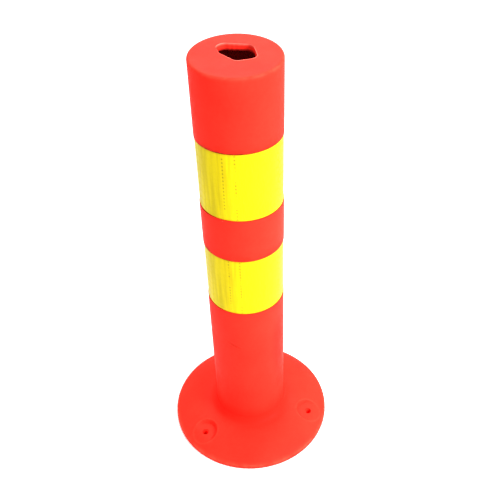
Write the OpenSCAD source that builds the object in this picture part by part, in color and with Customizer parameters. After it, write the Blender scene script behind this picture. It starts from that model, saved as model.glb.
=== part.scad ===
// Flexible delineator post for road edges and lane dividers.
// One soft hollow moulding makes the round foot, the tube and the closed top, and two strips
// of reflective sheeting are wrapped into shallow recesses round the tube. When a wheel hits
// it, the tube bends just above the foot and springs back. The moulding is given as three
// stretches: the foot that is bolted down, the neck that bends, and the tube that leans over.
// Millimetres, +Z up. The origin is the centre of the foot's underside, on the road.

/* [Overall] */
// Height of the post above the road, at its axis
post_h = 450; // [380:5:600]
// Outside diameter of the tube
tube_d = 80; // [66:1:96]
// Diameter of the foot where it meets the road
foot_d = 182; // [170:1:220]

/* [Tube] */
// Wall of the tube
tube_wall = 4.5; // [3.5:0.1:6]
// Thickness of the closed top
top_wall = 6.5; // [4:0.1:9]
// Slant of the flat top, which rises towards +Y
top_slant = 3.8; // [0:0.1:6]

/* [Foot] */
// Radius of the fillet between the tube and the skirt
fillet_r = 9; // [9:0.5:16]
// How far the fillet runs out from the tube, to the shoulder where the skirt begins
fillet_run = 8; // [4:0.5:9]
// Height of the shoulder above the road
shoulder_z = 19; // [17:0.5:24]
// Straight tube left on the foot above its fillet
collar_h = 25; // [5:1:40]
// Radius of the domed skirt, in section
skirt_r = 80; // [70:5:200]
// Thickness of the skirt
skirt_wall = 5; // [4:0.1:6]
// Height of the upright edge round the skirt
edge_h = 5; // [4:0.1:7]
// Width of the ring that the skirt stands on
rim_w = 8; // [5:0.5:10]
// Number of ribs under the skirt
rib_count = 12; // [6:3:18]
// Thickness of a rib
rib_t = 3; // [2:0.1:4]

/* [Anchor holes] */
// Number of anchor bolts
bolt_count = 3; // [3:1:3]
// Diameter of the circle through the anchor holes
bolt_pcd = 144; // [130:1:146]
// Diameter of an anchor hole
bolt_hole_d = 7; // [5:0.5:10]
// Diameter of the recess that takes the bolt's head and washer
bolt_seat_d = 28; // [22:1:30]
// Height of that recess's floor above the road
bolt_seat_z = 12; // [8:0.5:13]
// Wall of the boss round the recess, under the skirt
bolt_boss_wall = 4; // [3:0.1:5]

/* [Reflective bands] */
// Height of each strip of sheeting
band_h = 68; // [40:1:70]
// Tube left plain between the two recesses
band_gap = 47; // [30:0.5:60]
// Tube left plain above the upper recess
band_drop = 70; // [40:1:90]
// Thickness of the sheeting
sheet_t = 0.45; // [0.3:0.05:0.5]
// Layer of adhesive under the sheeting
glue_t = 0.1; // [0.05:0.05:0.1]
// Depth of the recess that a strip lies in
recess_t = 1.2; // [1.15:0.05:1.6]
// Gap between a strip's edge and the edge of its recess
band_clear = 0.5; // [0.2:0.1:1]
// Arc over which a strip's end laps its start
lap_deg = 13; // [6:1:20]

/* [Top opening] */
// Distance of the hand-trimmed opening from the post's axis
hole_offset = 4; // [0:0.5:8]
// Direction of that offset, from +X
hole_az = 70; // [0:5:355]
// Length of the opening, along the direction of its offset
hole_len = 31.5; // [28:0.5:40]
// Width of the opening
hole_w = 36.5; // [28:0.5:40]

/* [Hidden] */
$fn = 96;
eps = 1;
moulding = [1.0, 0.24, 0.18];
sheeting = [1.0, 0.95, 0.10];

tube_r = tube_d / 2;
bore_r = tube_r - tube_wall;
foot_r = foot_d / 2;
shoulder_r = tube_r + fillet_run;

// How far the slanted top rises and falls at the tube's edge
top_rise = tube_r * tan(top_slant);

// The fillet: a concave arc, upright where it leaves the tube and nearly level at the shoulder
fillet_c = [tube_r + fillet_r,
    shoulder_z + sqrt(pow(fillet_r, 2) - pow(fillet_r - fillet_run, 2))];

// The skirt: one convex arc from the shoulder to the top of its edge
skirt_run = [foot_r - shoulder_r, edge_h - shoulder_z];
skirt_chord = norm(skirt_run);
skirt_sag = sqrt(pow(skirt_r, 2) - pow(skirt_chord / 2, 2));
skirt_c = [shoulder_r, shoulder_z] + skirt_run / 2
    + skirt_sag * [skirt_run[1], -skirt_run[0]] / skirt_chord;

// The recesses, counted down from the top, and the neck below them. The moulding is cut at
// whole millimetres, so that the two faces of a cut lie on one plane.
recess_h = band_h + 2 * band_clear;
upper_recess_z = post_h - band_drop - recess_h;
lower_recess_z = upper_recess_z - band_gap - recess_h;
recess_r = tube_r - recess_t;
neck_clear = 30;
neck_z = [round(fillet_c[1] + collar_h), round(lower_recess_z - neck_clear)];

module fillet_section() {
    difference() {
        translate([bore_r, 0]) square([shoulder_r - bore_r, fillet_c[1]]);
        translate(fillet_c) circle(r = fillet_r);
        translate([fillet_c[0], shoulder_z]) square(fillet_r);
    }
}

// What lies under the skirt's arc, or under one that is "inset" below it, down to from_z
module skirt_section(from_r, to_r, inset = 0, from_z = 0) {
    intersection() {
        translate(skirt_c) circle(r = skirt_r - inset, $fn = 360);
        translate([from_r, from_z]) square([to_r - from_r, shoulder_z - from_z]);
    }
}

// The outside of the moulding in half section, from the road to above the top
module outer_section() {
    difference() {
        union() {
            square([tube_r, post_h + top_rise + eps]);
            fillet_section();
            skirt_section(shoulder_r, foot_r);
        }
        for (z = [lower_recess_z, upper_recess_z])
            translate([recess_r, z]) square([recess_t + eps, recess_h]);
    }
}

// A stretch of the moulding, solid from its axis out or with the bore through it
module solid_between(z0, z1, from_r = 0) {
    rotate_extrude() intersection() {
        outer_section();
        translate([from_r, z0]) square([foot_r + eps - from_r, z1 - z0]);
    }
}

module moulding_between(z0, z1) {
    solid_between(z0, z1, bore_r);
}

// All that lies below the slanted top, or below a plane that lies "drop" under it
module below_top(drop) {
    translate([0, 0, post_h - drop]) rotate([top_slant, 0, 0])
        translate([-foot_d, -foot_d, -2 * post_h]) cube([2 * foot_d, 2 * foot_d, 2 * post_h]);
}

// The hollow under the skirt, between the tube's own wall and the rim, down to from_z
module under_skirt(from_z) {
    rotate_extrude() skirt_section(tube_r, foot_r - rim_w, skirt_wall, from_z);
}

module at_bolts() {
    for (i = [0 : bolt_count - 1])
        rotate(90 + i * 360 / bolt_count) translate([bolt_pcd / 2, 0, 0]) children();
}

// Radial ribs, one of them on each anchor hole's line
module ribs() {
    for (i = [0 : rib_count - 1])
        rotate(90 + i * 360 / rib_count)
            translate([tube_r - eps, -rib_t / 2, 0])
                cube([foot_r - rim_w - tube_r + 2 * eps, rib_t, shoulder_z]);
}

module foot() {
    color(moulding) difference() {
        union() {
            difference() {
                moulding_between(0, neck_z[0]);
                under_skirt(-eps);
            }
            intersection() {
                under_skirt(0);
                union() {
                    ribs();
                    at_bolts() cylinder(d = bolt_seat_d + 2 * bolt_boss_wall, h = shoulder_z);
                }
            }
        }
        at_bolts() {
            translate([0, 0, -eps]) cylinder(d = bolt_hole_d, h = bolt_seat_z + 2 * eps);
            translate([0, 0, bolt_seat_z]) cylinder(d = bolt_seat_d, h = shoulder_z);
        }
    }
}

module flex_neck() {
    color(moulding) moulding_between(neck_z[0], neck_z[1]);
}

// The opening is trimmed by hand, so its outline is a rounded shape with uneven corners.
// Each corner is given along and across the opening, as parts of its half length and width.
hole_corners = [
    // along, across, radius
    [0.53, 0.59, 7.4],
    [0.48, -0.34, 8],
    [-0.28, -0.57, 7.8],
    [-0.59, -0.16, 6.3],
    [-0.01, 0.47, 6.1]
];

module top_opening() {
    rotate(hole_az) translate([hole_offset, 0, 0]) hull()
        for (c = hole_corners)
            translate([c[0] * hole_len / 2, c[1] * hole_w / 2]) circle(r = c[2], $fn = 32);
}

module post_tube() {
    color(moulding) difference() {
        intersection() {
            solid_between(neck_z[1], post_h + top_rise + eps);
            below_top(0);
        }
        intersection() {
            cylinder(r = bore_r, h = post_h + top_rise);
            below_top(top_wall);
        }
        translate([0, 0, post_h - top_wall - top_rise - eps])
            linear_extrude(top_wall + 2 * (top_rise + eps)) top_opening();
    }
}

// A strip wrapped round the tube, its end lapping its start at the back. The second layer is
// sunk by lap_bite into the first, which makes the strip one piece.
module band(z) {
    inner_r = recess_r + glue_t;
    lap_bite = sheet_t / 2;
    color(sheeting) translate([0, 0, z + band_clear]) {
        rotate_extrude() translate([inner_r, 0]) square([sheet_t, band_h]);
        rotate(90) rotate_extrude(angle = lap_deg)
            translate([inner_r + sheet_t - lap_bite, 0]) square([sheet_t + lap_bite, band_h]);
    }
}

module upper_band() { band(upper_recess_z); }

module lower_band() { band(lower_recess_z); }

foot();
flex_neck();
post_tube();
upper_band();
lower_band();
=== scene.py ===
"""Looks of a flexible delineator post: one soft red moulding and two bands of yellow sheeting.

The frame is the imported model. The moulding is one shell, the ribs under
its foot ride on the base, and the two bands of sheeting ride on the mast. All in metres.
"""

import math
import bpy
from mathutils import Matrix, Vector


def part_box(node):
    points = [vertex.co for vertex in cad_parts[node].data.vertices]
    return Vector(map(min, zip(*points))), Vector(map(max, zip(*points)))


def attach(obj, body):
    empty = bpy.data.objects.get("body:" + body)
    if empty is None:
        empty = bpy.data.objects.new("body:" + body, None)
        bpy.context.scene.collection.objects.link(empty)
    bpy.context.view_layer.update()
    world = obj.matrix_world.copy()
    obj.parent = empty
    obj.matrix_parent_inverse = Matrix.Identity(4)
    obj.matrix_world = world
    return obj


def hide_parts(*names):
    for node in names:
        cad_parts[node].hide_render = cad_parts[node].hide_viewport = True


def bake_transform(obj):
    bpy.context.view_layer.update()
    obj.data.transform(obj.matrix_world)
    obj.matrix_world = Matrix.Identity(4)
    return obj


bl_info = {
    "name": "Flexible Delineator Post",
    "version": (1, 0, 0),
    "blender": (4, 5, 0),
    "location": "3D View > Sidebar > Post",
    "description": "Builds a delineator post: its soft moulding, sheeting bands and stage",
    "category": "Object",
}

from functools import partial

import bmesh
import bpy
import numpy as np
from bpy.props import FloatProperty, FloatVectorProperty, IntProperty, PointerProperty
from mathutils import Matrix, Vector, noise

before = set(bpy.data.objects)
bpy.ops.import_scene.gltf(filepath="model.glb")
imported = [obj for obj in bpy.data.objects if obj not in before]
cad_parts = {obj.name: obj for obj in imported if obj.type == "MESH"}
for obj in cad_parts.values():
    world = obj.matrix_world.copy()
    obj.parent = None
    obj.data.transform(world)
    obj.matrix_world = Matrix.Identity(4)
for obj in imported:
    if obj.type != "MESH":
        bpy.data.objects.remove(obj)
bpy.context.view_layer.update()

MM = 0.001
FOOT_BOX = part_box("foot")
NECK_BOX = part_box("flex_neck")
TUBE_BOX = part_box("post_tube")
BAND_BOXES = {"upper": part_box("upper_band"), "lower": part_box("lower_band")}


def linear(hex_colour):
    """An sRGB hex colour as the linear red, green, blue and alpha that Blender works in."""
    parts = [int(hex_colour[i:i + 2], 16) / 255 for i in (0, 2, 4)]
    return [p / 12.92 if p <= 0.04045 else ((p + 0.055) / 1.055) ** 2.4 for p in parts] + [1.0]


def length(name, description, default, low, high):
    return FloatProperty(name=name, description=description, default=default, min=low, max=high,
                         unit="LENGTH", precision=5)


def colour(name, description, hex_colour):
    return FloatVectorProperty(name=name, description=description, subtype="COLOR", size=4,
                               min=0, max=1, default=linear(hex_colour))


class POST_PG_moulding(bpy.types.PropertyGroup):
    """Sizes and colours of the soft moulding."""

    tube_wall: length("Tube wall", "Wall thickness of the tube", 4.5 * MM, 2 * MM, 8 * MM)
    top_wall: length("Top wall", "Thickness of the closed top", 6.5 * MM, 3 * MM, 10 * MM)
    top_crown: length("Top crown", "Rise of the nearly flat top", 0.3 * MM, 0, 2 * MM)
    top_round: length("Top round", "Radius on the tube's top edge", 2.4 * MM, 0.5 * MM, 5 * MM)
    top_slant: FloatProperty(name="Top slant", description="Slant of the top, which rises to +Y",
                             default=math.radians(3.8), min=0, max=0.2, subtype="ANGLE")
    fillet: length("Fillet", "Radius between the tube and the skirt", 9 * MM, 5 * MM, 16 * MM)
    fillet_run: length("Fillet run", "How far the fillet runs out from the tube", 8 * MM,
                       4 * MM, 16 * MM)
    shoulder: length("Shoulder height", "Height at which the skirt begins", 19 * MM,
                     15 * MM, 30 * MM)
    skirt_radius: length("Skirt radius", "Radius of the skirt in section", 80 * MM,
                         60 * MM, 300 * MM)
    skirt_wall: length("Skirt wall", "Thickness of the skirt", 5 * MM, 3 * MM, 8 * MM)
    edge_height: length("Edge height", "Height of the foot's upright edge", 5 * MM,
                        3 * MM, 8 * MM)
    rim_width: length("Rim width", "Width of the ring that the skirt stands on", 8 * MM,
                      4 * MM, 12 * MM)
    seat_radius: length("Bolt recess radius", "Radius of a recess in the foot", 14 * MM,
                        8 * MM, 16 * MM)
    seat_floor: length("Bolt recess floor", "Height of a recess's floor", 12.4 * MM,
                       6 * MM, 14 * MM)
    hole_radius: length("Bolt hole radius", "Radius of an anchor hole", 3.5 * MM,
                        2 * MM, 6 * MM)
    bolt_circle: length("Bolt circle radius", "Radius of the circle through the anchor holes",
                        72 * MM, 60 * MM, 76 * MM)
    recess_depth: length("Band recess", "Depth of the recesses that the bands lie in",
                         1.2 * MM, 0.5 * MM, 2 * MM)
    recess_margin: length("Band gap", "Gap between a band and the edge of its recess",
                          0.5 * MM, 0, 1.5 * MM)
    waviness: length("Waviness", "How far the soft wall wanders from its true shape",
                     0.35 * MM, 0, 1 * MM)
    seed: IntProperty(name="Seed", description="Seed of the uneven wall", default=7)
    pigment: colour("Pigment", "Colour of the moulding", "FA291D")
    # Painted shade: this colour is the shade painted in the fillet round the foot and on a patch
    # of the tube's right side
    deep: colour("Deep", "Colour of the moulding where it lies thick, in its fillet", "FA1E13")
    chalk: colour("Chalk", "Colour of rubbed edges", "FF6A52")
    # The pale colour of the lip round the opening is partly a painted highlight
    burr_and_highlight: colour("Burr", "Colour of the pale burr round the opening", "FFA493")
    # Painted shade along the band recesses and round the anchor holes takes this colour, and so do
    # a scratch and a rub
    shade_and_scuffs: colour("Darkening", "Colour of the thin film of shading in the corners", "6E1E0E")
    # Painted shade: colour of the bore inside, darker than the moulding
    hollow: colour("Hollow", "Colour of the dusty hollow inside", "8C1712")


class POST_PG_sheeting(bpy.types.PropertyGroup):
    """Sizes and colours of the reflective sheeting."""

    thickness: length("Thickness", "Thickness of the strip", 0.42 * MM, 0.2 * MM, 1 * MM)
    lap: length("Lap", "Length over which a strip's end laps its start", 8.9 * MM, 0, 20 * MM)
    cell_width: length("Cell width", "Distance between two columns of cells", 11 * MM,
                       4 * MM, 20 * MM)
    cell_height: length("Cell height", "Distance between two cells in a column", 7.25 * MM,
                        3 * MM, 15 * MM)
    emboss: length("Emboss", "Height of a cell above the weld lines round it", 0.05 * MM,
                   0, 0.3 * MM)
    mesh_step: length("Mesh step", "Length of a face of the strip's mesh", 0.85 * MM,
                      0.4 * MM, 3 * MM)
    seed: IntProperty(name="Seed", description="Seed of the cells' tones", default=11)
    face: colour("Face", "Colour of the cells", "D6C208")
    weld: colour("Weld", "Colour of the weld lines", "5E4A0C")
    # Painted reflection: the orange tint along the cut edges stands in for red light thrown back
    # from the moulding
    edge_reflection: colour("Cut edge", "Colour along the strip's cut edges", "C88A14")


class POST_PG_stage(bpy.types.PropertyGroup):
    """Camera, lights and floor."""

    turn: FloatProperty(name="Turn", description="Turn of the camera's side round the post",
                        default=math.radians(-10.5), subtype="ANGLE")
    key_power: FloatProperty(name="Key power", description="Power of the key light",
                             default=26, min=0, unit="POWER")
    back_power: FloatProperty(name="Back power", description="Power of the light behind the post",
                              default=20, min=0, unit="POWER")
    fill_strength: FloatProperty(name="Fill strength", description="Strength of the soft fill",
                                 default=1.0, min=0)
    lens: FloatProperty(name="Lens", description="Focal length on a 36 mm sensor",
                        default=46.79, min=10, unit="CAMERA")
    floor: colour("Floor", "Colour of the floor", "F4F4F2")


# ---------------------------------------------------------------- nodes and meshes

def node(tree, kind, links=None, **settings):
    """Adds a node with its settings. A link's value is another node's output or a plain value."""
    made = tree.nodes.new(kind)
    for name, value in settings.items():
        setattr(made, name, value)
    for name, value in (links or {}).items():
        if isinstance(value, bpy.types.NodeSocket):
            tree.links.new(value, made.inputs[name])
        else:
            made.inputs[name].default_value = value
    return made


def math_node(tree, operation, *values):
    return node(tree, "ShaderNodeMath", dict(enumerate(values)), operation=operation).outputs[0]


def new_material(name):
    material = bpy.data.materials.new(name)
    material.use_nodes = True
    tree = material.node_tree
    return material, tree, tree.nodes["Principled BSDF"]


def plain_mesh(obj):
    """Turns what an object's modifiers make into its own mesh, and removes them."""
    graph = bpy.context.evaluated_depsgraph_get()
    mesh = bpy.data.meshes.new_from_object(obj.evaluated_get(graph))
    obj.modifiers.clear()
    old = obj.data
    obj.data = mesh
    bpy.data.meshes.remove(old)
    return obj


def new_object(name, mesh):
    obj = bpy.data.objects.new(name, mesh)
    bpy.context.scene.collection.objects.link(obj)
    return obj


def smooth_step(low, high, value):
    t = np.clip((value - low) / (high - low), 0, 1)
    return t * t * (3 - 2 * t)


# ---------------------------------------------------------------- the moulding's shape

BOLT_ANGLES = [math.radians(a) for a in (90, 210, 330)]
COLUMNS = 240                  # faces round the post
SECTOR_COLUMNS = 11            # columns on each side of an anchor hole that its own grid takes
SKIRT_ROWS = 20
RIB_COUNT = 12
RIB_THICKNESS = 3 * MM
BOSS_WALL = 4 * MM             # wall of the boss under an anchor hole's recess
GLUE = 0.1 * MM                # layer of adhesive under the sheeting
SWELL_ROOM = 0.1 * MM          # what a strip's embossing and swelling take of its thickness

# The hand-cut opening in the top: its corners, along and across, as parts of its half size,
# each with a radius in millimetres
OPENING_TURN = math.radians(70)
OPENING_OFFSET = 4 * MM
OPENING_HALF = (15.75 * MM, 18.25 * MM)
OPENING_CORNERS = (
    (0.53, 0.59, 7.4), (0.48, -0.34, 8.0), (-0.28, -0.57, 7.8), (-0.59, -0.16, 6.3),
    (-0.01, 0.47, 6.1),
)


def opening_reach(angles):
    """Distance from the opening's middle to its cut edge, for each direction."""
    normals = np.radians(np.arange(0, 360, 1.0))
    support = np.max([a * OPENING_HALF[0] * np.cos(normals) + c * OPENING_HALF[1] * np.sin(normals)
                      + r * MM for a, c, r in OPENING_CORNERS], axis=0)
    facing = np.cos(angles[:, None] - OPENING_TURN - normals[None, :])
    reach = np.where(facing > 0.05, support[None, :] / np.maximum(facing, 0.05), 1)
    return reach.min(axis=1)


class Section:
    """The moulding's half section, from its own sizes and the frame's."""

    def __init__(self, s):
        self.s = s
        self.tube = NECK_BOX[1].x
        self.bore = self.tube - s.tube_wall
        self.foot = FOOT_BOX[1].x
        self.inner_rim = self.foot - s.rim_width
        self.slope = math.tan(s.top_slant)
        self.rim_z = TUBE_BOX[1].z - self.tube * self.slope - s.top_crown
        self.flat = self.tube - s.top_round
        self.ceiling = self.rim_z - s.top_wall
        self.shoulder_r = self.tube + s.fillet_run
        self.fillet_z = s.shoulder + math.sqrt(s.fillet ** 2 - (s.fillet - s.fillet_run) ** 2)
        run = Vector((self.foot - self.shoulder_r, s.edge_height - s.shoulder))
        sag = math.sqrt(s.skirt_radius ** 2 - (run.length / 2) ** 2)
        middle = Vector((self.shoulder_r, s.shoulder)) + run / 2
        self.skirt_centre = middle + sag * Vector((run.y, -run.x)) / run.length

    def skirt(self, r, inset=0.0):
        """Height of the skirt's arc, or of one that lies inset below it."""
        radius = self.s.skirt_radius - inset
        return self.skirt_centre.y + np.sqrt(radius ** 2 - (r - self.skirt_centre.x) ** 2)

    def under(self, r):
        return self.skirt(r, self.s.skirt_wall)

    def crown(self, r):
        return self.rim_z + self.s.top_crown * (1 - np.clip(r / self.flat, 0, 1) ** 2)

    def slant(self, y, z):
        """How far the slanted top lifts a point; the tube's wall takes it up over 35 mm."""
        return y * self.slope * smooth_step(self.ceiling - 38 * MM, self.ceiling - 3 * MM, z)


def arc(cx, cz, radius, first, last, count):
    angles = np.radians(np.linspace(first, last, count))
    return [(cx + radius * math.cos(a), cz + radius * math.sin(a)) for a in angles]


def line(start, end, step):
    count = max(1, round(math.dist(start, end) / step))
    return [(start[0] + (end[0] - start[0]) * i / count,
             start[1] + (end[1] - start[1]) * i / count) for i in range(count + 1)]


def tube_rows(radius, low, high):
    """Rows up a wall: close together where the neck bends, wider apart above it."""
    neck = (NECK_BOX[0].z - 8 * MM, NECK_BOX[1].z + 8 * MM)
    stops = [low] + [z for z in neck if low < z < high] + [high]
    rows = []
    for a, b in zip(stops, stops[1:]):
        step = 4 * MM if neck[0] - MM < (a + b) / 2 < neck[1] + MM else 9 * MM
        rows += line((radius, a), (radius, b), step)
    return rows


def outer_rows(k):
    """The outside, from the hollow's edge under the rim to the start of the top."""
    s, foot = k.s, k.foot
    soft = 0.8 * MM
    corner = 1.6 * MM
    edge_in = foot - corner * 1.15
    rows = [(k.inner_rim, float(k.under(k.inner_rim)))]
    rows += arc(k.inner_rim + soft, soft, soft, 180, 270, 4)
    rows += arc(foot - soft, soft, soft, 270, 360, 5)
    rows += [(foot, s.edge_height - corner)]
    rows += [(foot - 0.12 * corner, s.edge_height - 0.45 * corner),
             (foot - 0.38 * corner, s.edge_height - 0.02 * corner),
             (foot - 0.72 * corner, float(k.skirt(foot - 0.72 * corner)) - 0.03 * corner)]
    skirt_from = len(rows)
    for r in np.linspace(edge_in, k.shoulder_r + 0.6 * MM, SKIRT_ROWS):
        rows.append((float(r), float(k.skirt(r))))
    skirt_to = len(rows) - 1
    centre = (k.tube + s.fillet, k.fillet_z)
    start = math.degrees(math.atan2(s.shoulder - centre[1], k.shoulder_r - centre[0]))
    rows += arc(*centre, s.fillet, start % 360, 180, 12)
    z = k.fillet_z
    lip = 0.3 * MM
    for name in ("lower", "upper"):
        low = BAND_BOXES[name][0].z - s.recess_margin
        high = BAND_BOXES[name][1].z + s.recess_margin
        deep = k.tube - s.recess_depth
        rows += tube_rows(k.tube, z + 2 * MM, low - lip - 0.8 * MM)
        rows += arc(k.tube - lip, low - lip, lip, 30, 90, 3)
        rows += line((deep, low + 0.1 * MM), (deep, high - 0.1 * MM), 8.5 * MM)
        rows += arc(k.tube - lip, high + lip, lip, 270, 330, 3)
        z = high + lip - 1.2 * MM
    rows += line((k.tube, z + 2 * MM), (k.tube, k.rim_z - s.top_round - 2 * MM), 8 * MM)
    rows += arc(k.tube - s.top_round, k.rim_z - s.top_round, s.top_round, 0, 90, 8)
    return rows, skirt_from, skirt_to


def inner_rows(k):
    """The bore from the ceiling down, the tube's foot and the underside of the skirt."""
    soft = 0.8 * MM
    cove = 3 * MM
    rows = arc(k.bore - cove, k.ceiling - cove, cove, 90, 0, 6)
    rows += tube_rows(k.bore, soft, k.ceiling - cove - 4 * MM)[::-1]
    rows += arc(k.bore + soft, soft, soft, 180, 270, 4)
    rows += arc(k.tube - soft, soft, soft, 270, 360, 4)
    rows += [(k.tube, 7 * MM)]
    under_from = len(rows) + 1
    rows += [(k.tube, float(k.under(k.tube)))]
    for r in np.linspace(k.tube + 1.5 * MM, k.inner_rim - 1.2 * MM, SKIRT_ROWS):
        rows.append((float(r), float(k.under(r))))
    return rows, under_from, len(rows) - 1


def ring(row, angles):
    return np.stack([row[0] * np.cos(angles), row[0] * np.sin(angles),
                     np.full(len(angles), row[1])], axis=1)


def top_rings(k, angles):
    """The crown, the hand-cut edge with its raised lip, whose pale colour along the front is
    partly a painted highlight, the cut wall and the ceiling behind it.
    """
    middle = OPENING_OFFSET * np.array([math.cos(OPENING_TURN), math.sin(OPENING_TURN)])
    rays = np.stack([np.cos(angles), np.sin(angles)], axis=1)
    nicks = np.array([noise.noise(Vector((math.cos(a) * 5, math.sin(a) * 5, 3))) for a in angles])
    reach = opening_reach(angles) + (0.45 * nicks - 0.5) * MM
    # The lip at the cut edge is raised most along the edge that faces the front, where its pale
    # colour is partly a painted highlight
    burr_and_highlight = 0.45 + 0.55 * np.cos(angles - math.radians(265))
    burr_and_highlight = burr_and_highlight * (0.75 + 0.5 * nicks)
    flat = k.flat * rays
    rings, lips = [], []

    def add(xy, z, lip):
        rings.append(np.column_stack([xy, z]))
        lips.append(np.zeros(len(angles)) + lip)

    far = middle + (reach[:, None] + 3.5 * MM) * rays
    for t in (0.0, 0.14, 0.3, 0.48, 0.66, 0.84, 1.0):
        xy = flat + (far - flat) * t
        if t > 0:
            add(xy, k.crown(np.hypot(*xy.T)), 0)
    for out, lift, lip in ((2.0, 0.02, 0.0), (1.2, 0.12, 0.0), (0.75, 0.32, 0.15),
                           (0.45, 0.5, 0.6), (0.2, 0.5, 1.0), (0.05, 0.3, 1.0)):
        xy = middle + (reach[:, None] + out * MM) * rays
        add(xy, k.crown(np.hypot(*xy.T)) + lift * MM * burr_and_highlight, lip * np.clip(burr_and_highlight, 0, 1))
    top = k.crown(np.hypot(*(middle + reach[:, None] * rays).T))
    wall = top - k.ceiling
    for down, out, lip in ((0.06, -0.10, 0.7), (0.18, -0.05, 0.25), (0.4, 0.12, 0.0),
                           (0.62, 0.05, 0.0), (0.82, -0.12, 0.0), (0.96, -0.05, 0.0)):
        scallop = 0.12 * MM * np.array([
            noise.noise(Vector((math.cos(a) * 9, math.sin(a) * 9, 2 * down))) for a in angles])
        xy = middle + (reach[:, None] + out * MM + scallop[:, None]) * rays
        add(xy, top - down * wall, lip)
    near = middle + (reach[:, None] + 0.3 * MM) * rays
    bore = (k.bore - 3 * MM) * rays
    for t in (0.0, 0.3, 0.65):
        xy = near + (bore - near) * t
        add(xy, np.full(len(angles), k.ceiling), 0)
    return rings, lips


def bolt_rings(k, angle, top_edge, under_edge):
    """Rings of one anchor hole, from its sector's edge on the skirt, down, to the underside's."""
    s = k.s
    centre = s.bolt_circle * np.array([math.cos(angle), math.sin(angle)])

    def bearings(edge):
        away = edge[:, :2] - centre
        return away / np.linalg.norm(away, axis=1)[:, None]

    def top(xy):
        r = np.hypot(*xy.T)
        outside = k.skirt(r)
        soft = 0.9 * MM
        drop = outside - s.seat_floor
        inside = s.seat_floor + 0.5 * (drop - np.sqrt(drop ** 2 + soft ** 2))
        rho = np.linalg.norm(xy - centre, axis=1)
        share = smooth_step(s.seat_radius - 2.4 * MM, s.seat_radius + 0.35 * MM, rho)
        return inside + (outside - inside) * share

    def under(xy):
        r = np.hypot(*xy.T)
        plain = k.under(np.minimum(r, k.inner_rim))
        rho = np.linalg.norm(xy - centre, axis=1)
        deep = np.minimum(plain, s.seat_floor - 2.5 * MM)
        share = smooth_step(15 * MM, 17 * MM, rho)
        return deep + (plain - deep) * share

    def rings_from(edge, height, ray, far):
        circle = centre + far * ray
        made = []
        for t in (0.82, 0.64, 0.46, 0.3, 0.15, 0.0):
            xy = circle + (edge[:, :2] - circle) * t
            made.append(np.column_stack([xy, height(xy)]))
        return made

    ray = bearings(top_edge)
    seat = s.seat_radius
    rings = [top_edge] + rings_from(top_edge, top, ray, seat + 1.2 * MM)
    for rho in (seat + 0.7 * MM, seat + 0.35 * MM, seat + 0.15 * MM, seat - 0.05 * MM,
                seat - 0.25 * MM, seat - 0.55 * MM, seat - 1.0 * MM, seat - 2.2 * MM,
                seat - 4 * MM, seat - 6.5 * MM, s.hole_radius + 1.6 * MM,
                s.hole_radius + 0.9 * MM, s.hole_radius + 0.45 * MM):
        xy = centre + rho * ray
        rings.append(np.column_stack([xy, top(xy)]))
    low_ray = bearings(under_edge)
    for share, drop in ((0.0, 0.25), (0.0, 0.9), (0.5, 1.6)):
        turn = ray + (low_ray - ray) * share
        turn = turn / np.linalg.norm(turn, axis=1)[:, None]
        xy = centre + s.hole_radius * turn
        rings.append(np.column_stack([xy, np.full(len(xy), s.seat_floor - drop * MM)]))
    back = [under_edge] + rings_from(under_edge, under, low_ray, seat + 3.2 * MM)
    for rho in (seat + 2 * MM, seat + 1 * MM, seat - 3 * MM, s.hole_radius + 2 * MM,
                s.hole_radius):
        xy = centre + rho * low_ray
        back.append(np.column_stack([xy, under(xy)]))
    return rings + back[::-1]


def sector_edge(rings, first, last, middle):
    """The closed edge of a sector of the grid, in order round it."""
    columns = [(middle + c) % COLUMNS for c in range(-SECTOR_COLUMNS, SECTOR_COLUMNS + 1)]
    rows = list(range(first, last + 1))
    path = [(rows[0], c) for c in columns]
    path += [(r, columns[-1]) for r in rows[1:]]
    path += [(rows[-1], c) for c in columns[::-1][1:]]
    path += [(r, columns[0]) for r in rows[::-1][1:-1]]
    return np.array([rings[r][c] for r, c in path])


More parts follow.
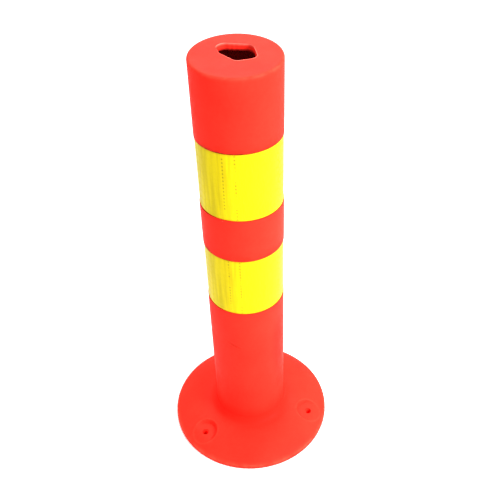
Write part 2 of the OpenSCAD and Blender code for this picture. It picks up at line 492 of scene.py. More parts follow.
def moulding_mesh(s):
    """The moulding's closed shell, with its wear and its tones stored at each point."""
    k = Section(s)
    angles = np.radians(np.arange(COLUMNS) * 360 / COLUMNS)
    outer, skirt_from, skirt_to = outer_rows(k)
    inner, under_from, under_to = inner_rows(k)
    tops, lips = top_rings(k, angles)
    rings = [ring(row, angles) for row in outer] + tops + [ring(row, angles) for row in inner]
    lip = [np.zeros(COLUMNS)] * len(outer) + lips + [np.zeros(COLUMNS)] * len(inner)
    shift = len(outer) + len(tops)
    grids = [(skirt_from, skirt_to), (under_from + shift, under_to + shift)]

    points = np.concatenate(rings)
    lip = np.concatenate(lip)
    faces = []
    middles = [round(math.degrees(a) * COLUMNS / 360) for a in BOLT_ANGLES]
    taken = {(m + c) % COLUMNS for m in middles for c in range(-SECTOR_COLUMNS, SECTOR_COLUMNS)}
    for i in range(len(rings)):
        j = (i + 1) % len(rings)
        in_grid = any(a <= i < b for a, b in grids)
        for c in range(COLUMNS):
            if in_grid and c in taken:
                continue
            d = (c + 1) % COLUMNS
            faces.append((i * COLUMNS + c, i * COLUMNS + d, j * COLUMNS + d, j * COLUMNS + c))
    for angle, middle in zip(BOLT_ANGLES, middles):
        top_edge = sector_edge(rings, *grids[0], middle)
        # The underside's grid runs outwards and the skirt's inwards, so its rows are turned
        # round to meet the same bearings
        under_edge = sector_edge(rings[::-1], len(rings) - 1 - grids[1][1],
                                 len(rings) - 1 - grids[1][0], middle)
        patch = bolt_rings(k, angle, top_edge, under_edge)
        start, count = len(points), len(top_edge)
        points = np.concatenate([points] + patch)
        lip = np.concatenate([lip, np.zeros(count * len(patch))])
        for i in range(len(patch) - 1):
            for c in range(count):
                d = (c + 1) % count
                a, b = start + i * count, start + (i + 1) * count
                faces.append((a + c, a + d, b + d, b + c))

    mesh = bpy.data.meshes.new("moulded_shell")
    mesh.from_pydata([tuple(p) for p in points], [], faces)
    layer = mesh.attributes.new("lip", "FLOAT", "POINT")
    layer.data.foreach_set("value", lip.astype(np.float32))
    shell = bmesh.new()
    shell.from_mesh(mesh)
    bmesh.ops.remove_doubles(shell, verts=shell.verts, dist=0.004 * MM)
    bmesh.ops.delete(shell, geom=[v for v in shell.verts if not v.link_faces], context="VERTS")
    bmesh.ops.recalc_face_normals(shell, faces=shell.faces)
    shell.normal_update()
    # The soft wall wanders a little inwards, and never out of the frame's box
    seed = Vector((s.seed, 2 * s.seed, 3 * s.seed))
    moves = []
    for v in shell.verts:
        p = v.co
        wide = noise.noise(p / (55 * MM) + seed)
        near = noise.noise(p / (17 * MM) + seed)
        dip = s.waviness * (0.5 - 0.42 * wide - 0.08 * near)
        standing = min(1.0, max(0.0, (p.z - 1 * MM) / (4 * MM)))
        in_bore = math.hypot(p.x, p.y) < k.bore + 0.5 * MM and p.z < k.ceiling
        moves.append(Vector() if in_bore else -v.normal * dip * standing)
    for v, move in zip(shell.verts, moves):
        v.co += move
        v.co.z += k.slant(v.co.y, v.co.z)
    for face in shell.faces:
        face.smooth = True
    shell.to_mesh(mesh)
    shell.free()
    mesh.set_sharp_from_angle(angle=math.radians(50))
    mark_wear(mesh, k)
    return mesh


def mark_wear(mesh, k):
    """Stores where the moulding is rubbed pale, and where painted shade darkens it: along the band
    recesses, round the anchor holes, in its fillet and inside its bore.
    """
    s = k.s
    count = len(mesh.vertices)
    co = np.empty(count * 3, np.float32)
    mesh.vertices.foreach_get("co", co)
    x, y, z = co.reshape(-1, 3).T.astype(float)
    z = z - k.slant(y, z)
    r = np.hypot(x, y)

    def near(distance, reach):
        return np.exp(-(distance / (reach * MM)) ** 2)

    foot_edge = 0.5 * near(np.hypot(r - k.foot + 0.4 * MM, z - s.edge_height + 0.5 * MM), 2.0)
    top_edge = 0.4 * near(np.hypot(r - k.tube + 0.5 * MM, z - k.rim_z + 0.5 * MM), 1.6)
    seats = np.zeros(count)
    floors = np.zeros(count)
    for angle in BOLT_ANGLES:
        rho = np.hypot(x - s.bolt_circle * math.cos(angle), y - s.bolt_circle * math.sin(angle))
        seats = np.maximum(seats, 0.15 * near(rho - s.seat_radius - 0.4 * MM, 0.8))
        floors = np.maximum(floors, 0.25 * near(rho - s.hole_radius, 1.2))
    above = (z > s.edge_height * 0.3) * (r > k.bore + 1 * MM)
    rubbed = np.clip(foot_edge + top_edge + seats, 0, 1) * above
    # Painted shade in the fillet round the tube's foot, strongest at the front left
    side = 0.7 + 0.3 * np.cos(np.arctan2(y, x) - math.radians(240))
    rise = z - s.shoulder - 2 * MM
    shadowed = near(r - k.tube - 2 * MM, 7) * near(rise, np.where(rise > 0, 17, 4)) * side * above
    recess = np.zeros(count)
    for low, high in BAND_BOXES.values():
        recess = np.maximum(recess, 0.6 * near(z - low.z + s.recess_margin, 0.8))
        recess = np.maximum(recess, 2.0 * near(z - high.z - s.recess_margin - 0.4 * MM, 0.7))
    # Painted shade: dark lines along the band recesses' edges, strongest along their top edges,
    # and darker rings round the anchor holes
    recess_shade = (floors * (z > 7 * MM) + recess) * (r > k.bore + 1 * MM)
    # Painted shade: the bore inside is darker
    hollow = 1.0 * (r < k.bore + 0.5 * MM) * (z < k.ceiling + 1.5 * MM)
    for name, values in (("rubbed", rubbed), ("recess_shade", recess_shade), ("shadowed", shadowed),
                         ("hollow", hollow)):
        layer = mesh.attributes.new(name, "FLOAT", "POINT")
        layer.data.foreach_set("value", values.astype(np.float32))


# ---------------------------------------------------------------- materials

def mark(tree, place, centre, turn, size):
    """A soft-edged mark on the surface: 1 in its middle and 0 outside its size."""
    mapping = node(tree, "ShaderNodeMapping", {"Vector": place, "Location": centre,
                                               "Rotation": turn, "Scale": size},
                   vector_type="TEXTURE")
    distance = node(tree, "ShaderNodeVectorMath", {0: mapping.outputs[0]}, operation="LENGTH")
    return node(tree, "ShaderNodeMapRange", {"Value": distance.outputs["Value"], "From Min": 1.0,
                                             "From Max": 0.25}, clamp=True,
                interpolation_type="SMOOTHSTEP").outputs[0]


def moulding_material(s):
    """Soft polyurethane, moulded hollow: an even, saturated body colour with a satin skin.

    To the eye it is clouded by the pigment over 40 to 60 mm, speckled over 3 mm, paler and
    duller where it is rubbed, and marked by a scratch and a rub. Painted shade darkens it along
    the band recesses, round the anchor holes, in the fillet round its foot, on a patch of the
    tube's right side and inside its bore; the pale lip round the opening in its top is partly a
    painted highlight.
    """
    material, tree, skin = new_material("soft_polyurethane_moulded")
    place = node(tree, "ShaderNodeTexCoord").outputs["Object"]
    clouds = node(tree, "ShaderNodeTexNoise", {"Vector": place, "Scale": 1 / (50 * MM),
                                               "Detail": 3.0, "Roughness": 0.5}).outputs["Fac"]
    speckle = node(tree, "ShaderNodeTexNoise", {"Vector": place, "Scale": 1 / (3 * MM),
                                                "Detail": 2.0}).outputs["Fac"]
    smears = node(tree, "ShaderNodeTexNoise", {"Vector": place, "Scale": 1 / (9 * MM),
                                               "Detail": 4.0, "Distortion": 0.6}).outputs["Fac"]
    rubbed = node(tree, "ShaderNodeAttribute", attribute_name="rubbed").outputs["Fac"]
    recess_shade = node(tree, "ShaderNodeAttribute", attribute_name="recess_shade").outputs["Fac"]

    dim = [c * v for c, v in zip(s.pigment, (0.97, 0.86, 0.86))] + [1]
    bright = [min(1, c * v) for c, v in zip(s.pigment, (1.02, 1.14, 1.14))] + [1]
    cloud_share = node(tree, "ShaderNodeMapRange", {"Value": clouds, "From Min": 0.32,
                                                    "From Max": 0.68}).outputs[0]
    body = node(tree, "ShaderNodeMix", {"Factor": cloud_share, 6: dim, 7: bright},
                data_type="RGBA").outputs[2]
    fleck = node(tree, "ShaderNodeMapRange", {"Value": speckle, "From Min": 0.35,
                                              "From Max": 0.75, "To Min": 0.0,
                                              "To Max": 0.02}).outputs[0]
    body = node(tree, "ShaderNodeMix", {"Factor": fleck, 6: body, 7: s.chalk[:]},
                data_type="RGBA").outputs[2]
    worn = math_node(tree, "MULTIPLY", rubbed, node(
        tree, "ShaderNodeMapRange", {"Value": smears, "From Min": 0.36, "From Max": 0.6,
                                     "To Min": 0.15, "To Max": 0.5}).outputs[0])
    body = node(tree, "ShaderNodeMix", {"Factor": worn, 6: body, 7: s.chalk[:]},
                data_type="RGBA").outputs[2]
    shadowed = node(tree, "ShaderNodeAttribute", attribute_name="shadowed").outputs["Fac"]
    # Painted shade: a darker patch on the tube's right front, low down
    tube_shade = mark(tree, place, (0.029, -0.0275, 0.13), (0, 0, 0), (17 * MM, 17 * MM, 62 * MM))
    shadowed = math_node(tree, "MAXIMUM", shadowed, math_node(tree, "MULTIPLY", tube_shade, 0.8))
    body = node(tree, "ShaderNodeMix", {"Factor": shadowed, 6: body, 7: s.deep[:]},
                data_type="RGBA").outputs[2]
    # Painted shade inside the bore
    shaded = node(tree, "ShaderNodeAttribute", attribute_name="hollow").outputs["Fac"]
    body = node(tree, "ShaderNodeMix", {"Factor": shaded, 6: body, 7: s.hollow[:]},
                data_type="RGBA").outputs[2]
    # Pale lip round the opening: partly a painted highlight along its front edge
    burr_and_highlight = math_node(tree, "MULTIPLY", 0.75, node(
        tree, "ShaderNodeAttribute", attribute_name="lip").outputs["Fac"])
    body = node(tree, "ShaderNodeMix", {"Factor": burr_and_highlight, 6: body, 7: s.burr_and_highlight[:]},
                data_type="RGBA").outputs[2]
    # Painted shade along the band recesses and round the anchor holes, broken up by noise; the
    # marks below are added to it
    film = math_node(tree, "MULTIPLY", recess_shade, node(
        tree, "ShaderNodeMapRange", {"Value": smears, "From Min": 0.35, "From Max": 0.65,
                                     "To Min": 0.3, "To Max": 0.8}).outputs[0])
    # Dark marks: from handling, a slanted scratch low on the tube and a rub below the lower band;
    # and painted shade, a darker patch on the tube's right side above the foot and a darker spot
    # in one anchor hole
    dark_marks = [
        mark(tree, place, (-0.0215, -0.0335, 0.147), (0, math.radians(28), 0),
             (13 * MM, 14 * MM, 2.0 * MM)),
        mark(tree, place, (-0.006, -0.0395, 0.174), (0, math.radians(6), 0),
             (0.9 * MM, 9 * MM, 13 * MM)),
        mark(tree, place, (0.030, -0.028, 0.078), (0, math.radians(8), 0),
             (8 * MM, 14 * MM, 20 * MM)),
        mark(tree, place, (-0.0645, -0.0372, 0.0125), (0, 0, math.radians(20)),
             (2.6 * MM, 3.2 * MM, 4 * MM)),
    ]
    for spot, strength in zip(dark_marks, (0.62, 0.1, 0.1, 0.3)):
        film = math_node(tree, "MAXIMUM", film, math_node(tree, "MULTIPLY", spot, strength))
    body = node(tree, "ShaderNodeMix", {"Factor": film, 6: body, 7: s.shade_and_scuffs[:]},
                data_type="RGBA").outputs[2]
    tree.links.new(body, skin.inputs["Base Color"])

    rough = math_node(tree, "MULTIPLY_ADD", smears, 0.16, 0.42)
    rough = math_node(tree, "MULTIPLY_ADD", rubbed, 0.18, rough)
    tree.links.new(rough, skin.inputs["Roughness"])
    # The mould's fine blasted grain is about 0.3 mm; it is drawn at 1.2 mm so that it shows
    grain = node(tree, "ShaderNodeTexNoise", {"Vector": place, "Scale": 1 / (1.2 * MM),
                                              "Detail": 2.0}).outputs["Fac"]
    relief = math_node(tree, "MULTIPLY_ADD", smears, 2.0, grain)
    bump = node(tree, "ShaderNodeBump", {"Height": relief, "Strength": 0.25,
                                         "Distance": 0.03 * MM}).outputs[0]
    tree.links.new(bump, skin.inputs["Normal"])
    skin.inputs["IOR"].default_value = 1.48
    skin.inputs["Specular IOR Level"].default_value = 0.02
    return material


def sheeting_material(s):
    """Prismatic reflective sheeting: a clear vinyl face over cells of tiny corner prisms.

    To the eye it is streaked lengthways, the weld between the cells shows as faint lines with
    chains of darker points, the cut edges are darker and tinted orange by a painted reflection of
    the red moulding, and the face has a thin gloss.
    """
    material, tree, skin = new_material("prismatic_reflective_vinyl")
    place = node(tree, "ShaderNodeTexCoord").outputs["Object"]
    tone = node(tree, "ShaderNodeAttribute", attribute_name="cell_tone").outputs["Fac"]
    weld = node(tree, "ShaderNodeAttribute", attribute_name="weld").outputs["Fac"]
    along = node(tree, "ShaderNodeAttribute", attribute_name="along").outputs["Fac"]
    up = node(tree, "ShaderNodeAttribute", attribute_name="up").outputs["Fac"]
    edge = node(tree, "ShaderNodeAttribute", attribute_name="edge").outputs["Fac"]

    calc = partial(math_node, tree)

    def ramp(value, low, high, least=0.0, most=1.0):
        return node(tree, "ShaderNodeMapRange", {
            "Value": value, "From Min": low, "From Max": high, "To Min": least,
            "To Max": most}).outputs[0]

    # Streaks drawn up the strip as it was calendered, 2 to 5 mm wide and some 60 mm long
    streak_place = node(tree, "ShaderNodeCombineXYZ", {
        0: calc("DIVIDE", along, 3.4 * MM), 1: calc("DIVIDE", up, 60 * MM)}).outputs[0]
    streaks = node(tree, "ShaderNodeTexNoise", {"Vector": streak_place, "Scale": 1.0,
                                                "Detail": 2.0}).outputs["Fac"]
    share = calc("MULTIPLY_ADD", tone, 0.16, ramp(streaks, 0.38, 0.64, 0.0, 0.9))
    dull = [c * v for c, v in zip(s.face, (0.80, 0.78, 0.85))] + [1]
    body = node(tree, "ShaderNodeMix", {"Factor": share, 6: s.face[:], 7: dull},
                data_type="RGBA").outputs[2]
    # The weld's corners show as chains of dark points up the joints between two columns,
    # 3.6 mm apart, on two joints of every five
    seam = calc("DIVIDE", along, s.cell_width)
    beside = calc("MULTIPLY", calc("PINGPONG", calc("ADD", seam, 0.5), 0.5), s.cell_width)
    over = calc("MULTIPLY", calc("PINGPONG", calc("DIVIDE", up, s.cell_height), 0.25),
                s.cell_height)
    reach = calc("SQRT", calc("ADD", calc("POWER", calc("DIVIDE", beside, 1.0 * MM), 2.0),
                              calc("POWER", calc("DIVIDE", over, 1.1 * MM), 2.0)))
    joint = calc("WRAP", calc("FLOOR", calc("ADD", seam, 1.0)), 5.0, 0.0)
    picked = calc("COMPARE", joint, 3.5, 0.6)
    clouds = node(tree, "ShaderNodeTexNoise", {"Vector": place, "Scale": 1 / (14 * MM),
                                               "Detail": 3.0}).outputs["Fac"]
    marked = calc("MULTIPLY", picked, ramp(clouds, 0.4, 0.52))
    points = calc("MULTIPLY", ramp(reach, 1.0, 0.4, 0.0, 0.6), marked)
    line_share = calc("MAXIMUM", points, calc("MULTIPLY", weld, 0.03))
    body = node(tree, "ShaderNodeMix", {"Factor": line_share, 6: body, 7: s.weld[:]},
                data_type="RGBA").outputs[2]
    # Painted reflection: an orange tint along the cut edges, for red light from the moulding
    body = node(tree, "ShaderNodeMix", {"Factor": calc("MULTIPLY", edge, 0.6), 6: body,
                                        7: s.edge_reflection[:]}, data_type="RGBA").outputs[2]
    tree.links.new(body, skin.inputs["Base Color"])
    rough = math_node(tree, "MULTIPLY_ADD", tone, 0.12, 0.3)
    rough = math_node(tree, "MULTIPLY_ADD", weld, 0.15, rough)
    tree.links.new(rough, skin.inputs["Roughness"])
    # The prisms are about 0.2 mm; they are drawn at 1.4 mm so that their glitter shows
    prisms = node(tree, "ShaderNodeTexVoronoi", {"Vector": place, "Scale": 1 / (1.4 * MM)},
                  feature="F1").outputs["Distance"]
    bump = node(tree, "ShaderNodeBump", {"Height": prisms, "Strength": 0.15,
                                         "Distance": 0.08 * MM}).outputs[0]
    tree.links.new(bump, skin.inputs["Normal"])
    skin.inputs["IOR"].default_value = 1.5
    skin.inputs["Specular IOR Level"].default_value = 0.04
    skin.inputs["Coat Weight"].default_value = 0.02
    skin.inputs["Coat Roughness"].default_value = 0.12
    return material


# ---------------------------------------------------------------- geometry nodes

def new_tree(name, inputs):
    """A geometry node group with its named inputs, and the nodes that give and take them."""
    tree = bpy.data.node_groups.new(name, "GeometryNodeTree")
    for label, kind in inputs.items():
        tree.interface.new_socket(label, in_out="INPUT", socket_type=kind)
    tree.interface.new_socket("Geometry", in_out="OUTPUT", socket_type="NodeSocketGeometry")
    return tree, node(tree, "NodeGroupInput").outputs, node(tree, "NodeGroupOutput")


def grow(obj, tree, values):
    """Runs a tree on an object with the given inputs, and keeps the result as a plain mesh."""
    modifier = obj.modifiers.new(tree.name, "NODES")
    modifier.node_group = tree
    for item in tree.interface.items_tree:
        if item.in_out == "INPUT" and item.name in values:
            modifier[item.identifier] = values[item.name]
    return plain_mesh(obj)


def finish_tree(tree, geometry, material, output):
    whole = node(tree, "GeometryNodeRealizeInstances", {0: geometry}).outputs[0]
    dressed = node(tree, "GeometryNodeSetMaterial", {"Geometry": whole, "Material": material})
    tree.links.new(dressed.outputs[0], output.inputs["Geometry"])


def sheeting_tree():
    """A strip with a honeycomb of embossed cells, wrapped round the tube with its end lapped."""
    real = "NodeSocketFloat"
    tree, given, output = new_tree("cell_sheeting", {
        "Length": real, "Height": real, "Thickness": real, "Radius": real, "Bottom": real,
        "Start": real, "Lap": real, "Cell Width": real, "Cell Height": real, "Emboss": real,
        "Mesh Step": real, "Seed": "NodeSocketInt", "Material": "NodeSocketMaterial"})

    calc = partial(math_node, tree)

    size = node(tree, "ShaderNodeCombineXYZ", {0: given["Length"], 1: given["Height"],
                                               2: given["Thickness"]}).outputs[0]
    along = calc("DIVIDE", given["Length"], given["Mesh Step"])
    up = calc("DIVIDE", given["Height"], given["Mesh Step"])
    strip = node(tree, "GeometryNodeMeshCube", {"Size": size, "Vertices X": along,
                                                "Vertices Y": up, "Vertices Z": 2})
    place = node(tree, "GeometryNodeInputPosition").outputs[0]
    x, y, z = node(tree, "ShaderNodeSeparateXYZ", {0: place}).outputs
    u = calc("DIVIDE", x, given["Cell Width"])
    v = calc("DIVIDE", y, given["Cell Height"])
    # Two nested sets of cells make the honeycomb; a point belongs to the nearer centre
    nearest = []
    for du, dv in ((0.0, 0.0), (1.0, 0.5)):
        pu = calc("WRAP", calc("SUBTRACT", u, du), 1.0, -1.0)
        pv = calc("WRAP", calc("SUBTRACT", v, dv), 0.5, -0.5)
        au, av = calc("ABSOLUTE", pu), calc("ABSOLUTE", pv)
        reach = calc("MAXIMUM", calc("MULTIPLY", av, 2.0), calc("MULTIPLY_ADD", au, 1.5, av))
        nearest.append((pu, pv, reach))
    first = calc("LESS_THAN", nearest[0][2], nearest[1][2])
    reach = calc("MINIMUM", nearest[0][2], nearest[1][2])

    def chosen(index):
        return node(tree, "ShaderNodeMix", {"Factor": first, 2: nearest[1][index],
                                            3: nearest[0][index]}).outputs[0]

    column = calc("ROUND", calc("SUBTRACT", u, chosen(0)))
    row = calc("ROUND", calc("MULTIPLY", calc("SUBTRACT", v, chosen(1)), 2.0))
    cell = calc("MULTIPLY_ADD", column, 131.0, row)
    by_cell = node(tree, "FunctionNodeRandomValue", {"ID": cell, "Seed": given["Seed"]},
                   data_type="FLOAT").outputs[1]
    by_column = node(tree, "FunctionNodeRandomValue", {"ID": column, "Seed": given["Seed"]},
                     data_type="FLOAT").outputs[1]
    tone = calc("MULTIPLY_ADD", by_cell, 0.45, calc("MULTIPLY", by_column, 0.55))
    rise = node(tree, "ShaderNodeMapRange", {"Value": reach, "From Min": 1.0, "From Max": 0.74},
                interpolation_type="SMOOTHSTEP").outputs[0]
    weld = calc("SUBTRACT", 1.0, rise)
    outside = calc("GREATER_THAN", z, 0.0)
    pillow = calc("MULTIPLY", calc("MULTIPLY", rise, outside), given["Emboss"])
    lean = calc("MULTIPLY", calc("MULTIPLY", calc("SUBTRACT", tone, 0.5), outside), 0.05 * MM)
    waves = node(tree, "ShaderNodeTexNoise", {"Vector": place, "Scale": 1 / (24 * MM),
                                              "Detail": 2.0}).outputs["Fac"]
    swell = calc("MULTIPLY", calc("SUBTRACT", waves, 0.5), 0.14 * MM)
    depth = calc("ADD", calc("ADD", z, pillow), calc("ADD", swell, lean))
    # The strip's cut edges aren't quite straight
    wander = node(tree, "ShaderNodeTexNoise", {"Vector": place, "Scale": 1 / (40 * MM),
                                               "Detail": 3.0}).outputs["Fac"]
    edge = calc("POWER", calc("DIVIDE", calc("ABSOLUTE", y),
                              calc("MULTIPLY", given["Height"], 0.5)), 6.0)
    shift = calc("MULTIPLY", calc("MULTIPLY", calc("SUBTRACT", wander, 0.5), edge), 0.7 * MM)

    arc_length = calc("ADD", x, calc("MULTIPLY", given["Length"], 0.5))
    once_round = calc("SUBTRACT", given["Length"], given["Lap"])
    climb = node(tree, "ShaderNodeMapRange", {
        "Value": arc_length, "From Min": calc("SUBTRACT", once_round, 9 * MM),
        "From Max": calc("SUBTRACT", once_round, 0.5 * MM), "To Min": 0.0,
        "To Max": calc("ADD", given["Thickness"], 0.16 * MM)},
        interpolation_type="SMOOTHSTEP").outputs[0]
    mid = calc("MULTIPLY_ADD", given["Thickness"], 0.5, given["Radius"])
    angle = calc("ADD", given["Start"], calc("DIVIDE", arc_length, mid))
    reach_out = calc("ADD", calc("ADD", mid, depth), climb)
    height = calc("ADD", calc("ADD", y, shift),
                  calc("MULTIPLY_ADD", given["Height"], 0.5, given["Bottom"]))
    wrapped = node(tree, "ShaderNodeCombineXYZ", {
        0: calc("MULTIPLY", reach_out, calc("COSINE", angle)),
        1: calc("MULTIPLY", reach_out, calc("SINE", angle)), 2: height}).outputs[0]

    shape = strip.outputs[0]
    rim = calc("POWER", calc("DIVIDE", calc("ABSOLUTE", y),
                             calc("MULTIPLY", given["Height"], 0.5)), 45.0)
    for name, value in (("cell_tone", tone), ("weld", calc("MULTIPLY", weld, outside)),
                        ("along", x), ("up", y), ("edge", rim)):
        shape = node(tree, "GeometryNodeStoreNamedAttribute",
                     {"Geometry": shape, "Name": name, "Value": value}, data_type="FLOAT",
                     domain="POINT").outputs[0]
    shape = node(tree, "GeometryNodeSetPosition", {"Geometry": shape, "Position": wrapped}
                 ).outputs[0]
    shape = node(tree, "GeometryNodeSetShadeSmooth", {"Geometry": shape, "Shade Smooth": True}
                 ).outputs[0]
    finish_tree(tree, shape, given["Material"], output)
    return tree


def underside_tree(k):
    """The ribs and bosses under the foot, repeated round it."""
    real = "NodeSocketFloat"
    tree, given, output = new_tree("foot_ribs", {
        "Rib Count": "NodeSocketInt", "Rib Thickness": real, "Boss Radius": real,
        "Hole Radius": real, "Bolt Circle": real, "Inner Radius": real, "Outer Radius": real,
        "Material": "NodeSocketMaterial"})
    s = k.s

    calc = partial(math_node, tree)

    def ceiling(radius):
        """Height of the skirt's underside at a radius."""
        out = calc("SUBTRACT", radius, k.skirt_centre.x)
        arc_r = s.skirt_radius - s.skirt_wall
        root = calc("SQRT", calc("SUBTRACT", arc_r ** 2, calc("MULTIPLY", out, out)))
        return calc("ADD", root, k.skirt_centre.y)

    place = node(tree, "GeometryNodeInputPosition").outputs[0]
    x, y, z = node(tree, "ShaderNodeSeparateXYZ", {0: place}).outputs
    above = calc("GREATER_THAN", z, 0.0)

    def rib(outer):
        blank = 0.01                   # height of the bar before it is drawn up to the skirt
        span = calc("SUBTRACT", outer, given["Inner Radius"])
        size = node(tree, "ShaderNodeCombineXYZ", {0: span, 1: given["Rib Thickness"],
                                                   2: blank}).outputs[0]
        bar = node(tree, "GeometryNodeMeshCube", {"Size": size, "Vertices X": 16,
                                                  "Vertices Y": 4, "Vertices Z": 4}).outputs[0]
        radius = calc("ADD", x, calc("MULTIPLY", calc("ADD", outer, given["Inner Radius"]), 0.5))
        share = calc("ADD", calc("DIVIDE", z, blank), 0.5)
        top = calc("ADD", ceiling(radius), 0.6 * MM)
        # A rib is thinner at its free edge, as its draft makes it
        draft = calc("MULTIPLY_ADD", share, 0.28, 0.72)
        at = node(tree, "ShaderNodeCombineXYZ", {
            0: radius, 1: calc("MULTIPLY", y, draft),
            2: calc("MULTIPLY_ADD", share, calc("SUBTRACT", top, 0.2 * MM), 0.2 * MM)}).outputs[0]
        return node(tree, "GeometryNodeSetPosition", {"Geometry": bar, "Position": at}).outputs[0]

    spokes = node(tree, "GeometryNodeMeshCircle", {"Vertices": given["Rib Count"],
                                                   "Radius": 1 * MM}).outputs[0]
    index = node(tree, "GeometryNodeInputIndex").outputs[0]
    # Every fourth rib meets a boss, so it ends there
    ribs_per_boss = RIB_COUNT / len(BOLT_ANGLES)
    at_boss = calc("LESS_THAN", calc("MODULO", calc("ADD", index, 1.0), ribs_per_boss),
                   0.5)
    turn = calc("MULTIPLY", index, calc("DIVIDE", math.tau, given["Rib Count"]))
    facing = node(tree, "ShaderNodeCombineXYZ", {2: turn}).outputs[0]
    centre = node(tree, "GeometryNodeSetPosition", {"Geometry": spokes, "Position": (0, 0, 0)}
                  ).outputs[0]
    parts = []
    for outer, pick in ((given["Outer Radius"], calc("SUBTRACT", 1.0, at_boss)),
                        (calc("SUBTRACT", given["Bolt Circle"],
                              calc("SUBTRACT", given["Boss Radius"], 1 * MM)), at_boss)):
        parts.append(node(tree, "GeometryNodeInstanceOnPoints", {
            "Points": centre, "Selection": pick, "Instance": rib(outer),
            "Rotation": facing}).outputs[0])

    # A boss: a closed ring whose top stays inside the skirt's wall
    tube = node(tree, "GeometryNodeMeshCube", {"Size": (1, 1, 1), "Vertices X": 97,
                                               "Vertices Y": 6, "Vertices Z": 4}).outputs[0]
    bearing = calc("MULTIPLY", x, math.tau)
    rho = calc("MULTIPLY_ADD", calc("ADD", y, 0.5),
               calc("SUBTRACT", given["Boss Radius"], given["Hole Radius"]), given["Hole Radius"])
    bx = calc("MULTIPLY_ADD", rho, calc("COSINE", bearing), given["Bolt Circle"])
    by = calc("MULTIPLY", rho, calc("SINE", bearing))
    out = calc("SQRT", calc("MULTIPLY_ADD", bx, bx, calc("MULTIPLY", by, by)))
    top = calc("MINIMUM", s.seat_floor - 1.3 * MM, calc("ADD", ceiling(out), 1.2 * MM))
    bz = calc("MULTIPLY_ADD", calc("ADD", z, 0.5), calc("SUBTRACT", top, 0.15 * MM), 0.15 * MM)
    at = node(tree, "ShaderNodeCombineXYZ", {0: bx, 1: by, 2: bz}).outputs[0]
    boss = node(tree, "GeometryNodeSetPosition", {"Geometry": tube, "Position": at}).outputs[0]
    boss = node(tree, "GeometryNodeMergeByDistance", {"Geometry": boss, "Distance": 0.002 * MM}
                ).outputs[0]
    parts.append(node(tree, "GeometryNodeInstanceOnPoints", {
        "Points": centre, "Selection": at_boss, "Instance": boss, "Rotation": facing}).outputs[0])
    joined = node(tree, "GeometryNodeJoinGeometry")
    for part in parts:
        tree.links.new(part, joined.inputs[0])
    finish_tree(tree, joined.outputs[0], given["Material"], output)
    return tree


# ---------------------------------------------------------------- operators

class POST_OT_moulding(bpy.types.Operator):
    """Build the soft moulding: foot, tube and closed top in one shell"""

    bl_idname = "post.moulding"
    bl_label = "Moulding"

    def execute(self, context):
        s = context.scene.post_moulding
        material = moulding_material(s)
        shell = new_object("moulded_shell", moulding_mesh(s))
        shell.data.materials.append(material)
        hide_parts("foot", "flex_neck", "post_tube")
        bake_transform(shell)
        return {"FINISHED"}


class POST_OT_ribs(bpy.types.Operator):
    """Build the ribs and bosses under the foot"""

    bl_idname = "post.ribs"
    bl_label = "Foot ribs"

    def execute(self, context):
        s = context.scene.post_moulding
        k = Section(s)
        ribs = new_object("foot_ribs", bpy.data.meshes.new("foot_ribs"))
        grow(ribs, underside_tree(k), {
            "Rib Count": RIB_COUNT, "Rib Thickness": RIB_THICKNESS,
            "Boss Radius": s.seat_radius + BOSS_WALL,
            "Hole Radius": s.hole_radius + 0.05 * MM, "Bolt Circle": s.bolt_circle,
            "Inner Radius": k.tube - 1 * MM, "Outer Radius": k.inner_rim + 1 * MM,
            "Material": bpy.data.materials["soft_polyurethane_moulded"]})
        shell = bmesh.new()
        shell.from_mesh(ribs.data)
        bmesh.ops.recalc_face_normals(shell, faces=shell.faces)
        shell.to_mesh(ribs.data)
        shell.free()
        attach(ribs, "base")
        return {"FINISHED"}


class POST_OT_sheeting(bpy.types.Operator):
    """Build the two strips of reflective sheeting round the tube"""

    bl_idname = "post.sheeting"
    bl_label = "Sheeting"

    def execute(self, context):
        s = context.scene.post_sheeting
        material = sheeting_material(s)
        tree = sheeting_tree()
        deep = NECK_BOX[1].x - context.scene.post_moulding.recess_depth
        radius = deep + GLUE
        once_round = math.tau * (radius + s.thickness / 2)
        for index, (name, (low, high)) in enumerate(BAND_BOXES.items()):
            strip = new_object(f"{name}_sheeting", bpy.data.meshes.new(f"{name}_sheeting"))
            grow(strip, tree, {
                "Length": once_round + s.lap, "Height": high.z - low.z,
                "Thickness": s.thickness - SWELL_ROOM, "Radius": radius, "Bottom": low.z,
                "Start": math.radians(90), "Lap": s.lap, "Cell Width": s.cell_width,
                "Cell Height": s.cell_height, "Emboss": s.emboss, "Mesh Step": s.mesh_step,
                "Seed": s.seed + index, "Material": material})
            strip.data.set_sharp_from_angle(angle=math.radians(40))
            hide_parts(f"{name}_band")
            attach(strip, "mast")
        return {"FINISHED"}


# The stage, in metres: the floor's half width, the lights' side, place and target, and the
# camera's place and own directions before it is turned round the post
FLOOR_HALF = 3.0
LIGHT_SIDE = 0.5
KEY_PLACE, KEY_TARGET = (0.68, -0.66, 0.8), (0, 0, 0.25)
BACK_PLACE, BACK_TARGET = (0.146, 0.787, 1.3), (0, 0, 0.4)
CAMERA_PLACE = Vector((0, -0.5030, 0.6586))
CAMERA_RIGHT = Vector((0.9989, -0.0355, -0.0291))
CAMERA_UP = Vector((0.0450, 0.6333, 0.7727))
CAMERA_AHEAD = Vector((0.0091, 0.7732, -0.6342))


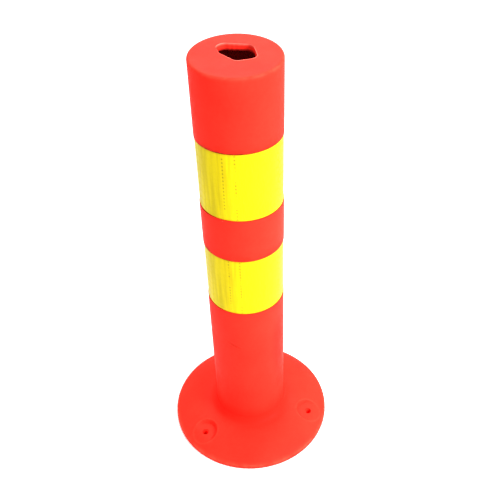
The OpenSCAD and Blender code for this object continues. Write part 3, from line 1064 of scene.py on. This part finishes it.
class POST_OT_stage(bpy.types.Operator):
    """Set the floor, the lights and the camera"""

    bl_idname = "post.stage"
    bl_label = "Stage"

    def execute(self, context):
        s = context.scene.post_stage
        scene = context.scene
        floor_mesh = bpy.data.meshes.new("floor")
        half = FLOOR_HALF
        floor_mesh.from_pydata([(-half, -half, 0), (half, -half, 0), (half, half, 0),
                                (-half, half, 0)], [], [(0, 1, 2, 3)])
        floor = new_object("floor", floor_mesh)
        paper, tree, skin = new_material("pale_backdrop_paper")
        skin.inputs["Base Color"].default_value = s.floor
        skin.inputs["Roughness"].default_value = 0.9
        skin.inputs["Specular IOR Level"].default_value = 0.1
        floor_mesh.materials.append(paper)

        world = bpy.data.worlds.new("soft_studio")
        world.use_nodes = True
        sky = world.node_tree.nodes["Background"]
        sky.inputs["Color"].default_value = (1, 1, 1, 1)
        sky.inputs["Strength"].default_value = s.fill_strength
        scene.world = world

        for name, power, place, target in (
                ("key", s.key_power, KEY_PLACE, KEY_TARGET),
                ("back_light", s.back_power, BACK_PLACE, BACK_TARGET)):
            lamp = bpy.data.lights.new(name, "AREA")
            lamp.energy = power
            lamp.size = LIGHT_SIDE
            light = new_object(name, lamp)
            light.location = place
            aim = Vector(target) - light.location
            light.rotation_euler = aim.to_track_quat("-Z", "Y").to_euler()

        lens = bpy.data.cameras.new("camera")
        lens.sensor_width = 36
        lens.lens = s.lens
        camera = new_object("camera", lens)
        facing = Matrix((CAMERA_RIGHT, CAMERA_UP, -CAMERA_AHEAD)).transposed().to_4x4()
        facing.translation = CAMERA_PLACE
        camera.matrix_world = Matrix.Rotation(s.turn, 4, "Z") @ facing
        scene.camera = camera
        scene.view_settings.view_transform = "Standard"
        scene.view_settings.look = "None"
        return {"FINISHED"}


class POST_PT_panel(bpy.types.Panel):
    """Lists the operators that build the post"""

    bl_idname = "POST_PT_panel"
    bl_label = "Delineator Post"
    bl_space_type = "VIEW_3D"
    bl_region_type = "UI"
    bl_category = "Post"

    def draw(self, context):
        for name in BUILD_ORDER:
            self.layout.operator(f"post.{name}")


BUILD_ORDER = ("moulding", "ribs", "sheeting", "stage")
CLASSES = (POST_PG_moulding, POST_PG_sheeting, POST_PG_stage, POST_OT_moulding, POST_OT_ribs,
           POST_OT_sheeting, POST_OT_stage, POST_PT_panel)


def register():
    for cls in CLASSES:
        bpy.utils.register_class(cls)
    bpy.types.Scene.post_moulding = PointerProperty(type=POST_PG_moulding)
    bpy.types.Scene.post_sheeting = PointerProperty(type=POST_PG_sheeting)
    bpy.types.Scene.post_stage = PointerProperty(type=POST_PG_stage)


def unregister():
    del bpy.types.Scene.post_moulding
    del bpy.types.Scene.post_sheeting
    del bpy.types.Scene.post_stage
    for cls in reversed(CLASSES):
        bpy.utils.unregister_class(cls)


def main():
    register()
    for name in BUILD_ORDER:
        getattr(bpy.ops.post, name)()


if __name__ == "__main__":
    main()
